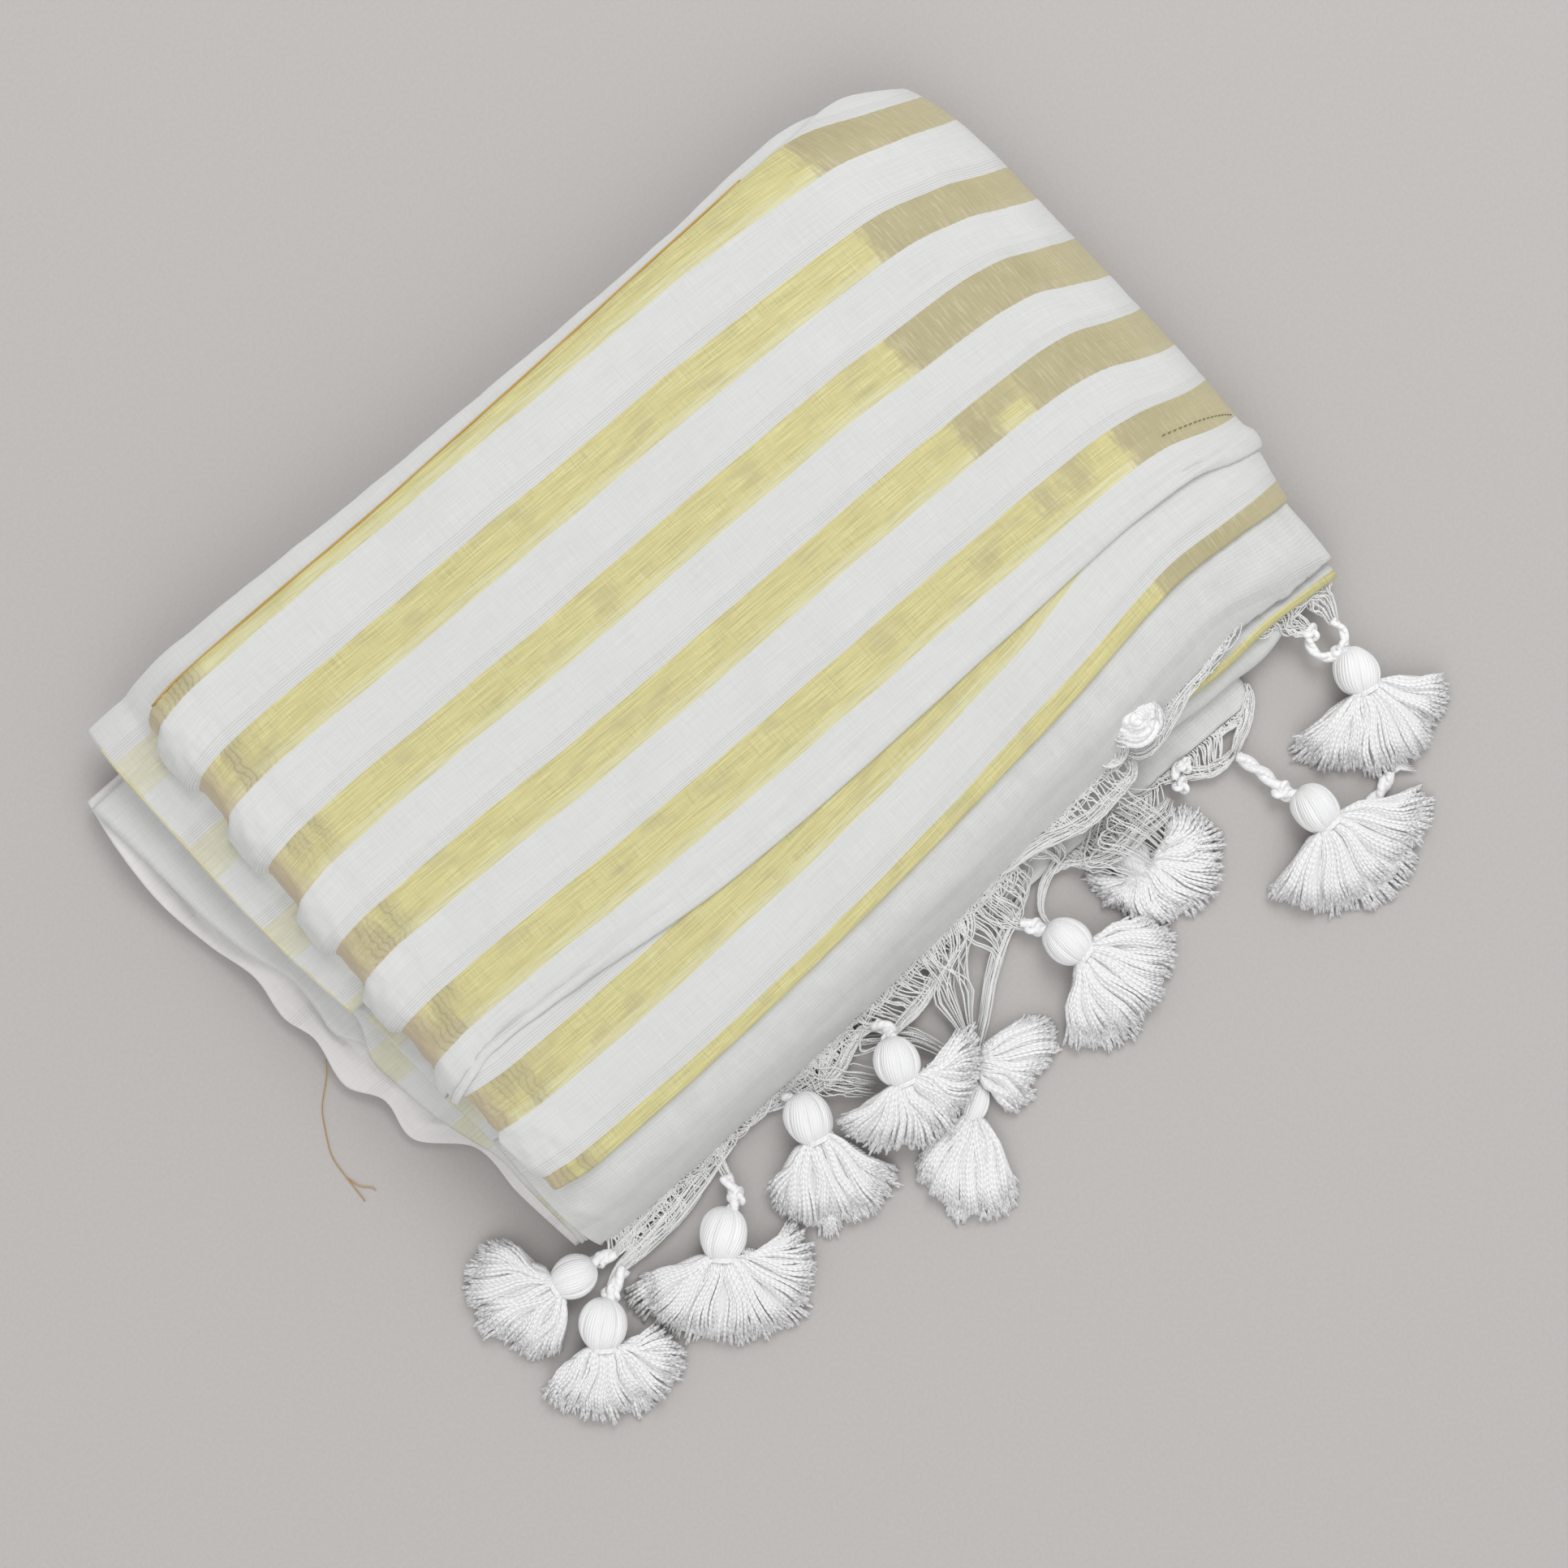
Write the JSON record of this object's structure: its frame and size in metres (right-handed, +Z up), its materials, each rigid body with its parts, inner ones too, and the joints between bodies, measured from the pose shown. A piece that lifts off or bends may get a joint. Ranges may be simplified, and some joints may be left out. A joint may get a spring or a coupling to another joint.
{
  "type": "folded saree",
  "caption": "Cotton saree folded into a flat bundle, its gold-striped end on top, with fringe and yarn tassels spread on the floor in front.",
  "frame": {"origin": "centre of the hidden layers' flat underside, where the bundle rests", "axes": "+X along the bundle's long side and its stripes, +Y across the stripes away from the tassels, +Z up"},
  "size_m": [0.3554, 0.2938, 0.0453],
  "materials": {
    "cotton_white": "matte, sheer plain-weave cotton",
    "pallu_striped": "sheer white cotton with woven metallic gold stripes",
    "tassel_yarn": "soft matte cotton yarn"
  },
  "bodies": {
    "root": {"body_stack": "cotton_white", "under_layer_a": "cotton_white", "under_layer_b": "cotton_white", "pallu_top": "pallu_striped", "pallu_pleat": "cotton_white", "pallu_mid": "pallu_striped", "pallu_end": "cotton_white", "second_layer": "cotton_white", "lower_roll": "cotton_white", "third_layer": "cotton_white", "fringe_end_left": "tassel_yarn", "fringe_end_middle": "tassel_yarn", "fringe_end_centre": "tassel_yarn", "fringe_third": "tassel_yarn", "tassel_01": "tassel_yarn", "tassel_02": "tassel_yarn", "tassel_03": "tassel_yarn", "tassel_04": "tassel_yarn", "tassel_05": "tassel_yarn", "tassel_06": "tassel_yarn", "tassel_07": "tassel_yarn", "tassel_08": "tassel_yarn", "tassel_09": "tassel_yarn", "tassel_10": "tassel_yarn", "tassel_11": "tassel_yarn", "thread_rosette": "tassel_yarn"}
  },
  "joints": []
}
